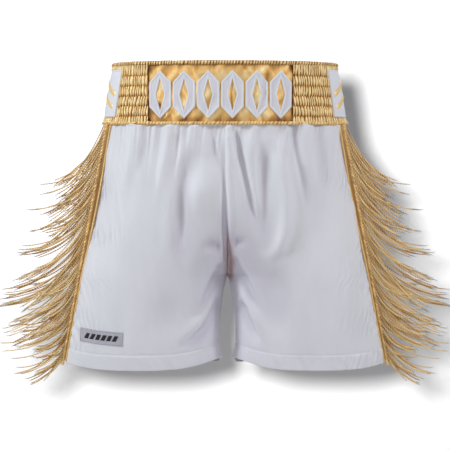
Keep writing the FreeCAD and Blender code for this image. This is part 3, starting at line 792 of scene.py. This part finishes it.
def build_roll_and_piping():
    """The finely gathered casing over the top edge, like rope, and the piping over the waist seam."""
    count = 1300
    angle, length = (part[:-1] for part in even_angles(0, 2 * math.pi, count + 1))
    path = band_points(angle, np.full(count, 3.6), np.full(count, 0.2))
    turn = np.linspace(0, 2 * math.pi, 16, endpoint=False) / (2 * math.pi)
    gathers = round(length[-1] / 4.6)
    phase = length[:, None] / (length[-1] + length[1]) * gathers + 0.45 * noise1(length / 13, 140)[:, None]
    ribs = np.abs(np.sin(math.pi * (phase + turn)))
    radius = 2.6 + 0.9 * ribs**0.7 + 0.25 * noise1(length / 9, 141)[:, None]
    # Painted light and shade on the rope: its ribs are painted lighter and the grooves between them darker, with
    # some random tone.
    tone = 1.25 * (ribs - 0.6) + 0.2 * noise1(length / 2.7, 142)[:, None] - 0.1
    closed_tube_piece("top_edge_rope", path, radius, GOLD_SATIN, "top_edge_roll", length, tone)

    path = band_points(angle, np.full(count, BAND_HIGH - 2.6), 1.2 + 0.3 * noise1(length / 6, 150))
    lay = np.linspace(0, 1, 12, endpoint=False)
    pucker = np.abs(np.sin(math.pi * ((length / 5.1 + 0.6 * noise1(length / 12, 151))[:, None] + lay)))
    radius = 2.1 + 0.8 * pucker + 0.2 * noise1(length / 17, 152)[:, None]
    # Painted light and shade on the piping: lighter on its puckers and darker between them, with some random tone.
    tone = 0.6 * (pucker - 0.7) + 0.15 * noise1(length / 3.3, 153)[:, None]
    closed_tube_piece("waist_seam_piping_cord", path, radius, GOLD_PIPING, "waist_seam_piping", length, tone)


def build_ply(name, offset, swell, material, node):
    """A plain band inside the cover: the elastic web or the lining."""
    angle, length = (part[:-1] for part in even_angles(0, 2 * math.pi, 601))
    drop = spread(2.0, BAND_HIGH + 1, 60, 600)
    relief = swell * noise1(length / 4.2, 160) * np.abs(np.sin(drop / 15.5 * math.pi)) + offset
    points = band_points(np.broadcast_to(angle, drop.shape), drop, relief)
    return grid_piece(name, points, material, node, laid_flat(length, drop), wrap=True)


def build_waistband():
    cover, centre = build_cover(), build_centre()
    build_roll_and_piping()
    web = build_ply("waist_elastic_web", -2.4, 0.5, ELASTIC, "waist_elastic")
    lining = build_ply("waistband_lining_cloth", -4.2, 0.7, LINING, "waistband_lining")
    return cover, centre, web, lining


def polygon_sides(corners):
    """Outward unit normals and offsets of a convex polygon given anticlockwise."""
    corners = np.asarray(corners, float)
    edge = np.roll(corners, -1, axis=0) - corners
    normal = unit(np.stack([edge[:, 1], -edge[:, 0]], -1))
    return normal, (normal * corners).sum(1)


def ray_length(sides, angle, sharp=50.0):
    """Distance from the centre to a convex polygon's edge, with its corners a little rounded."""
    normal, offset = sides
    reach = np.stack([np.cos(angle), np.sin(angle)], -1) @ normal.T
    inverse = np.maximum(reach / offset, 1e-6)
    return (inverse**sharp).sum(-1) ** (-1 / sharp)


def build_blocks():
    """Six appliqué blocks on the centre panel: long hexagons with lozenge windows and satin-stitched edges."""
    half, tall, shoulder = 16.8, 36.5, 18.5
    window_half, window_tall = 6.5, 24.0
    pitch, middle_x, middle_drop, foot = 36.4, -7.0, 51.5, -0.6
    hexagon = [(-half, -shoulder), (0, -tall), (half, -shoulder), (half, shoulder), (0, tall), (-half, shoulder)]
    outer = polygon_sides(hexagon)
    inner = polygon_sides([(-window_half, 0), (0, -window_tall), (window_half, 0), (0, window_tall)])
    around, across = ((560, 34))
    angle = np.linspace(0, 2 * math.pi, around, endpoint=False)[None, :]
    reach = mix(ray_length(inner, angle), ray_length(outer, angle), np.linspace(0, 1, across)[:, None])
    u, w = reach * np.cos(angle), reach * np.sin(angle)
    place = np.stack([u, w], -1)
    to_edge = (outer[1] - place @ outer[0].T).min(-1)
    to_window = (place @ inner[0].T - inner[1]).max(-1)
    stitched = np.maximum(domed(to_edge / 3.2), domed(to_window / 2.6))
    # The first and the last ring go down to the panel, inside the window and round the outside.
    rings = np.r_[0, np.arange(across), across - 1]
    made = []
    for k in range(6):
        x, drop = middle_x + pitch * (k - 2.5) + u, middle_drop - w
        height = centre_relief(x, drop) * 0.8 + 1.1 + 0.8 * stitched + 0.25 * noise2(x / 7, drop / 11, 170)
        height = height[rings]
        height[[0, -1]] = foot
        x, drop = x[rings], drop[rings]
        name = f"applique_block_{k + 1}"
        # Painted light and shade: the flat of each block is painted slightly shaded on the white ramp, and its
        # raised satin-stitched edges lighter along their dome.
        made.append(grid_piece(f"{name}_satin", front_points(x, drop, height), WHITE_APPLIQUE, name,
                               laid_flat(x, drop), 0.17 - 0.17 * stitched[rings].ravel(), wrap=True))
    return made


def build_patches():
    """The white patch round each side of the waistband, with gold chevrons."""
    made = {}
    columns, rows, foot = 150, 90, PATCH_TOP + PATCH_HIGH
    limit = math.acos((PATCH_FRONT_X + 5) / 186.0)
    front_angle, front_length = even_angles(-limit, limit, columns)
    half, rise, stroke = 34.0, 22.0, 8.0
    y, across = np.meshgrid(np.linspace(-half, half, 121), np.linspace(0, 1, 13))
    stitch = 2.0 + 1.3 * domed(across) * smooth((half - np.abs(y)) / 1.5) + 0.12 * np.sin(y * 7.0)
    for side, sign in SIDES:
        drop = spread(PATCH_TOP, foot, rows, columns)
        length = np.broadcast_to(front_length, drop.shape)
        angle = np.broadcast_to(front_angle if sign > 0 else math.pi + front_angle, drop.shape)
        edge = np.minimum(np.minimum(length, length[0, -1] - length), np.minimum(drop - PATCH_TOP, foot - drop))
        relief = 1.3 + 0.8 * domed(edge / 3.0) + 0.5 * noise2(length / 14, drop / 22, 180) + 0.9 * smooth(edge / 12)
        relief = np.where(edge <= 0.01, 0.0, relief)
        made[side] = grid_piece(f"{side}_patch_satin", band_points(angle, drop, relief), WHITE_APPLIQUE,
                                f"waistband_{side}_patch", laid_flat(length, drop), slot="white_satin")
        chevrons = []
        for peak in (24.0, 44.0):
            drop = peak + rise * np.abs(y) / half + stroke * across
            angle = np.arcsin(np.clip(y / band_axes(drop)[1], -1, 1))
            points = band_points(angle if sign > 0 else math.pi - angle, drop, stitch)
            chevrons.append(grid_with_faces(points))
        made[f"{side}_chevrons"] = make_piece(f"{side}_patch_chevron_stitching", *join(chevrons), GOLD_THREAD,
                                              f"{side}_patch_chevrons", painted_shade_and_tone=0.7)
    return made


# ---------------------------------------------------------------- labels


def surface_at(x, drop, offset):
    """Points on the front cloth of the left leg, given x and drop."""
    rows = np.linspace(drop.min() - 4, drop.max() + 4, 30)
    points = on_cloth(-1, False, rows, 20.0, None, 160, 0.0)
    y = np.empty(x.shape)
    for index in np.ndindex(x.shape):
        k = np.clip(np.searchsorted(rows, drop[index]) - 1, 0, 28)
        above, below = (np.interp(x[index], points[j, :, 0], points[j, :, 1]) for j in (k, k + 1))
        y[index] = mix(above, below, (drop[index] - rows[k]) / (rows[k + 1] - rows[k]))
    slope = np.gradient(y, axis=1) / np.gradient(x, axis=1)
    normal = unit(np.stack([slope, -np.ones_like(slope), np.zeros_like(slope)], -1))
    return np.stack([x, y, -drop], -1) + normal * np.broadcast_to(offset, x.shape)[..., None]


def build_leg_label():
    """The grey woven label, a little crooked, with a zigzag-stitched border and a row of plain slanted bars."""
    (centre_x, centre_drop), half, tall, tilt = (-194.0, 428.0), 35.0, 11.0, math.radians(3.0)

    def placed(a, b, offset):
        """Points of the label from its own coordinates, a to the right and b down."""
        x = centre_x + a * math.cos(tilt) - b * math.sin(tilt)
        drop = centre_drop + a * math.sin(tilt) + b * math.cos(tilt)
        return surface_at(x, drop, offset)

    a, b = np.meshgrid(np.linspace(-half, half, 80), np.linspace(-tall, tall, 26))
    edge = np.minimum(half - np.abs(a), tall - np.abs(b))
    offset = 0.9 + 0.15 * noise2(a / 9, b / 6, 190) - 0.7 * smooth((0.4 - edge) / 0.4)
    label = grid_piece("leg_label_weave", placed(a, b, offset), LABEL_GREY, "leg_label", laid_flat(a, b))
    pitch, width, slant, bar_tall, proud = 9.0, 6.2, 1.9, 4.4, 1.35
    u, v = np.meshgrid(np.linspace(0, 1, 8), np.linspace(-1, 1, 8))
    bars = []
    for k in range(6):
        a = (k - 2.5) * pitch + (u - 0.5) * width - v * slant
        bars.append(grid_with_faces(placed(a, v * bar_tall, proud)))
    mark = make_piece("leg_label_bars", *join(bars), LABEL_PRINT, "leg_label_mark")
    zigzag = []
    for b_side in (-1, 1):
        steps = int(2 * half / 1.3)
        b = b_side * tall - b_side * (0.5 + 1.0 * (np.arange(steps) % 2))
        a = np.linspace(-half, half, steps)
        zigzag.append(placed(np.tile(a, (2, 1)), np.tile(b, (2, 1)), proud)[0])
    for a_side in (-1, 1):
        steps = int(2 * tall / 1.3)
        a = a_side * half - a_side * (0.5 + 1.0 * (np.arange(steps) % 2))
        b = np.linspace(-tall, tall, steps)
        zigzag.append(placed(np.stack([a, a + 0.5], 1), np.stack([b, b], 1), proud)[:, 0])
    points, quads = join([grid_with_faces(tube(path, 0.28, 6, (0, 1, 0)), True) for path in zigzag])
    thread = make_piece("leg_label_zigzag_thread", points, quads, LABEL_GREY)
    return [label, mark, thread]


def build_care_label():
    """A blank woven label inside the back of the waist, with a slight curl."""
    top = -98.0
    a, b = np.meshgrid(np.linspace(-12.5, 12.5, 30), np.linspace(0, 45, 50))
    y = 79.0 - 1.2 * np.sin(b / 45 * math.pi) + 0.4 * noise2(a / 6, b / 12, 200) * smooth(b / 8)
    sheet = np.stack([a, y, top - b], -1)
    return grid_piece("care_label_ribbon", sheet, LABEL_WHITE, "care_label", laid_flat(a, b), body="care_label")


# ---------------------------------------------------------------- stitching


def stitches(path):
    """A row of stitches along a path: short threads that dip into the cloth at both ends."""
    length, gap, radius = 2.8, 1.0, 0.22
    reached = np.concatenate([[0], np.cumsum(np.linalg.norm(np.diff(path, axis=0), axis=1))])
    parts = []
    for start in np.arange(0.5, reached[-1] - length, length + gap):
        wanted = np.linspace(start, start + length, 4)
        line = np.stack([np.interp(wanted, reached, path[:, axis]) for axis in range(3)], -1)
        thread = tube(line, radius * np.array([0.3, 1, 1, 0.3])[:, None], 6, (0.3, 1, 0.2))
        parts.append(grid_with_faces(thread, True))
    return join(parts)


def build_stitching():
    """Topstitching along each leg's hem and side seams."""
    made = {}
    hem_rows = np.linspace(HEM_DROP - 26, HEM_DROP - 21, 5)
    seam_rows = np.linspace(BAND_HIGH + 3, HEM_DROP - 26, 380)
    for side, sign in SIDES:
        hems = [on_cloth(sign, back, hem_rows, 1.0, None, 400, 0.35, True)[2] for back in FRONT_AND_BACK]
        seams = [on_cloth(sign, back, seam_rows, STRIPE_HALF + 3.5, STRIPE_HALF + 7.5, 5, 0.3)[:, 2]
                 for back in FRONT_AND_BACK]
        points, quads = join([stitches(path) for path in hems + seams])
        made[side] = make_piece(f"{side}_leg_topstitching", points, quads, WHITE_THREAD, uv=points[:, [0, 2]],
                                slot="white_satin")
    return made


# ---------------------------------------------------------------- fringe

# Where a strand's tip lies from its root, down the seam and out from it, by the root's share of the seam.
STRAND_REACH = ((0.00, 100, 50), (0.20, 108, 88), (0.45, 126, 108), (0.60, 118, 106), (0.75, 96, 100),
                (0.88, 80, 78), (1.00, 54, 34))
STRANDS = 235
LEAVE_ANGLE = math.radians(12)
CURL = 0.9
ROOT_SHARE = 0.965  # how far down the header the last strand hangs


def seam_frame(sign):
    """The header's top and length, and the directions out from it, down it and across the fringe."""
    top, foot = np.array(HEADER_TOP) * (sign, 1, 1), np.array(HEADER_FOOT) * (sign, 1, 1)
    up = unit(top - foot)
    out = unit(np.array([sign, 0, 0]) - up * up[0] * sign)
    depth = np.array([0.0, 1.0, 0.0])
    depth = unit(depth - up * depth.dot(up))
    return top, np.linalg.norm(top - foot), out, -up, depth


def strand_curve(chord, chord_angle, points):
    """A strand as (out, down) from its root. It leaves along the seam and curves away from it."""
    t = np.linspace(0, 1, points)
    end_angle = LEAVE_ANGLE + (chord_angle - LEAVE_ANGLE) * (CURL + 1) * 0.93
    heading = LEAVE_ANGLE + (end_angle - LEAVE_ANGLE) * t**CURL
    step = np.stack([np.sin(heading), np.cos(heading)], -1)
    curve = np.concatenate([[[0, 0]], np.cumsum((step[1:] + step[:-1]) / 2, axis=0)])
    return curve * (chord / np.linalg.norm(curve[-1]))


def reach_at(share):
    shares, downs, outs = np.array(STRAND_REACH).T
    down, out = np.interp(share, shares, downs), np.interp(share, shares, outs)
    return math.hypot(down, out), math.atan2(out, down)


def twisted(path, depth_axis):
    """A two-ply cord, as a six-sided tube whose pinched section turns as it goes, and which ply shows where."""
    pitch = 8.5
    travelled = np.concatenate([[0], np.cumsum(np.linalg.norm(np.diff(path, axis=0), axis=1))])
    turn = travelled / pitch * 2 * math.pi
    angle = np.arange(6) * math.pi / 3
    ply = np.cos(2 * (angle[None, :] - turn[:, None]))
    taper = np.minimum(1.0, (travelled[-1] - travelled) / 4.0 + 0.55)[:, None]
    return tube(path, (0.80 + 0.26 * ply) * taper, 6, depth_axis), ply.ravel()


def build_strand(rng, seam, member, centre, lock, rings):
    """One cord and its two frayed ends: their points and quads, and a tone for each point.

    centre is its lock's share of the seam, and lock is the lock's length, angle and depth.
    """
    top, long, out, down, depth = seam
    lock_scale, lock_angle, lock_depth = lock
    t = np.linspace(0, 1, rings)
    share = ROOT_SHARE * (member + rng.uniform(0.2, 0.8)) / STRANDS
    stray = rng.random() < 0.16
    scale = rng.uniform(0.55, 0.97) if stray else lock_scale * rng.uniform(0.93, 1.03)
    turn = lock_angle + math.radians(rng.normal(0, 8 if stray else 1.3))
    curve = strand_curve(reach_at(centre)[0] * scale, min(turn, math.radians(50)), rings)
    gather = 0.0 if stray else 0.8 * smooth((t - 0.15) / 0.8)
    root_shift = (share - centre) * long * (1 - gather)
    beside = rng.normal(0, 1.6) * smooth(t * 1.5) + rng.normal(0, 3.0) * t**3
    wave = 0.8 * np.sin(t * rng.uniform(5, 11) + rng.uniform(0, 6)) * smooth(t * 3)
    layer = (member % 3 - 1) * 2.1 + rng.uniform(-0.6, 0.6)
    deep = layer * (1 - 0.4 * t) - 0.4 + (lock_depth + rng.normal(0, 1.3)) * smooth(t * 1.2) + wave
    room = 1.45 + 4.6 * smooth((t - 0.12) / 0.3)
    deep = np.clip(deep, -room, room - 0.6)
    heading = unit(np.gradient(curve, axis=0))
    across = np.stack([heading[:, 1], -heading[:, 0]], -1)
    flat = curve + across * (beside + wave * 0.6)[:, None]
    root = rng.uniform(0.0, 6.0) * (member % 3 != 0)
    lower = flat[:, 1:] + centre * long + np.reshape(root_shift, (-1, 1))
    path = top + out * (flat[:, :1] + root) + down * lower + depth * deep[:, None]
    points, ply = twisted(path, depth)
    parts = [grid_with_faces(points, True)]
    # A random tone for each strand, with painted shade on every third strand, the layer lying furthest back, and
    # near the root by the header; painted light and shade round the twist, bright on each ply's crest and dark in
    # the groove between plies. The frayed tips' pale grey is their own colour.
    tone = rng.uniform(0.45, 1.2) - 0.6 * (member % 3 == 2) - 0.95 * np.exp(-t / 0.16)
    tone = np.clip(np.repeat(tone, 6) + 0.75 * ply, -0.3, 1.15)
    tones = [np.where(np.repeat(t, 6) > 0.965, 1.75, tone)]
    for _ in range(2):
        wander = rng.normal(0, 1, 3) * 1.3
        tail = path[-1] + (path[-1] - path[-4]) / 3 * np.linspace(-1, 3.4, 6)[:, None]
        tail = tail + wander * (np.linspace(0, 1, 6) ** 1.5)[:, None]
        parts.append(grid_with_faces(tube(tail, np.linspace(0.4, 0.2, 6)[:, None], 4, depth), True))
        tones.append(np.full(24, 1.85))
    return join(parts), np.concatenate(tones)


def build_header(side, seam):
    """The cord that the fringe hangs from, down the stripe: three plies laid together."""
    top, long, out, down, depth = seam
    rows, pitch, spread_out = 420, 17.0, 1.35
    t = np.linspace(-0.004, 1.004, rows)
    plies = []
    for ply in range(3):
        turn = t * long / pitch * 2 * math.pi + ply * 2 * math.pi / 3
        path = top + down * (t * long)[:, None]
        path = path + (out * np.cos(turn)[:, None] + depth * np.sin(turn)[:, None]) * spread_out
        radius = 1.4 + 0.14 * np.cos(np.arange(9) * 2 * math.pi / 9 * 3 - (t * long / 1.6)[:, None])
        plies.append(grid_with_faces(tube(path, radius, 9, depth), True))
    points, quads = join(plies)
    tone = 0.5 + 0.3 * noise1(np.arange(len(points)) / 60.0, 210)
    name = f"{side}_fringe_header"
    return make_piece(f"{name}_rope", points, quads, GOLD_THREAD, name, painted_shade_and_tone=tone)


def build_fringe():
    """Each side's five lengths of fringe, then its header. The cords lie in locks of a few."""
    made = {}
    rings = 115
    for side, sign in SIDES:
        rng = np.random.default_rng(7)
        seam = seam_frame(sign)
        sections = [[] for _ in range(5)]
        index = 0
        while index < STRANDS:
            members = int(rng.integers(4, 8))
            centre = ROOT_SHARE * (index + members / 2) / STRANDS
            scale = rng.choice([rng.uniform(0.88, 0.98), rng.uniform(0.38, 0.76)], p=[0.4, 0.6])
            angle = reach_at(centre)[1] + math.radians(rng.normal(0, 4.5))
            lock = (0.95 if centre < 0.1 else scale, angle, rng.uniform(-4, 5))
            section = sections[min(4, int(centre * 5))]
            for member in range(index, min(index + members, STRANDS)):
                section.append(build_strand(rng, seam, member, centre, lock, rings))
            index += members
        for k, strands in enumerate(sections):
            points, quads = join([mesh for mesh, _ in strands])
            tones = np.concatenate([tone for _, tone in strands])
            name = f"{side}_fringe_{k + 1}"
            made[name] = make_piece(f"{name}_strands", points, quads, FRINGE_GOLD, name, painted_shade_and_tone=tones, body=name)
        made[f"{side}_header"] = build_header(side, seam)
    return made


# ---------------------------------------------------------------- stage, light and camera


def stage_material():
    nodes = Nodes("backdrop_paper")
    paper, lighter = (0.68,) * 3, (0.6868,) * 3
    nodes.set(Base_Color=nodes.ramp(nodes.noise(None, 40.0, 3.0), (0.3, paper), (0.7, lighter)), Roughness=0.9)
    return nodes.material


def build_stage():
    """A pale floor that curves up into a backdrop well behind the shorts."""
    front, floor, back, curve, top, half_wide = -4000.0, -2100.0, 2200.0, 500.0, 4500.0, 5000.0
    profile = [(front, floor)]
    for a in np.radians(np.linspace(0, 90, 16)):
        profile.append((back - curve + curve * math.sin(a), floor + curve - curve * math.cos(a)))
    profile.append((back, top))
    points = [(x * SCALE, y * SCALE, z * SCALE) for y, z in profile for x in (-half_wide, half_wide)]
    mesh = bpy.data.meshes.new("backdrop")
    mesh.from_pydata(points, [], grid_faces(len(profile), 2).tolist())
    mesh.shade_smooth()
    mesh.materials.append(stage_material())
    stage = link("backdrop", mesh)
    return stage


def turned_to(target, place):
    return (Vector(target) - Vector(place)).to_track_quat("-Z", "Y").to_euler()


def area_light(name, place, target, size, energy, colour, stage, state):
    """A round area light that reaches only the stage (INCLUDE) or everything else (EXCLUDE)."""
    data = bpy.data.lights.new(name, "AREA")
    data.shape = "DISK"
    data.size, data.energy, data.color = size, energy, colour
    light = link(name, data)
    light.location, light.rotation_euler = place, turned_to(target, place)
    reached = bpy.data.collections.new(f"{name}_receivers")
    reached.objects.link(stage)
    light.light_linking.receiver_collection = reached
    reached.collection_objects[0].light_linking.link_state = state


def build_studio():
    stage = build_stage()
    world = bpy.data.worlds.new("studio")
    world.use_nodes = True
    background = world.node_tree.nodes["Background"]
    background.inputs["Color"].default_value = (0.95, 0.94, 1.0, 1.0)
    background.inputs["Strength"].default_value = 0.21
    bpy.context.scene.world = world
    for name, place, size, energy, colour in (
        ("left_softbox", (-1.9, -0.9, 1.0), 0.55, 33.0, (0.93, 0.97, 1.0)),
        ("right_softbox", (1.9, -0.9, 0.8), 0.6, 20.0, (0.95, 0.96, 1.0)),
        ("front_fill", (0.1, -2.0, 0.3), 1.0, 9.0, (1.0, 0.94, 0.90)),
        ("back_fill", (0.5, 1.9, 0.6), 1.2, 14.0, (1.0, 0.98, 0.96)),
    ):
        area_light(name, place, (0.0, 0.0, -0.26), size, energy, colour, stage, "EXCLUDE")
    area_light("backdrop_light", (-0.0575, -1.45, -0.064), (0.0, 2.2, -0.25), 0.062, 195.0, (1.0, 1.0, 1.0),
               stage, "INCLUDE")


def build_camera():
    """Eye level with the foot of the waistband, looking a little down."""
    data = bpy.data.cameras.new("camera")
    data.sensor_width = 36.0
    data.lens = 72.0
    camera = link("camera", data)
    camera.location = (0.0, -1.45, -0.104)
    camera.rotation_euler = turned_to((0.0, 0.0, -0.258), camera.location)
    bpy.context.scene.camera = camera


# ---------------------------------------------------------------- all of it


def main():
    bpy.context.scene.view_settings.view_transform = "Standard"
    panels = build_leg_cloth()
    stripes = build_stripes()
    cover, centre, web, lining = build_waistband()
    blocks = build_blocks()
    patches = build_patches()
    label = build_leg_label()
    care = build_care_label()
    threads = build_stitching()
    fringe = build_fringe()
    build_studio()
    build_camera()


main()
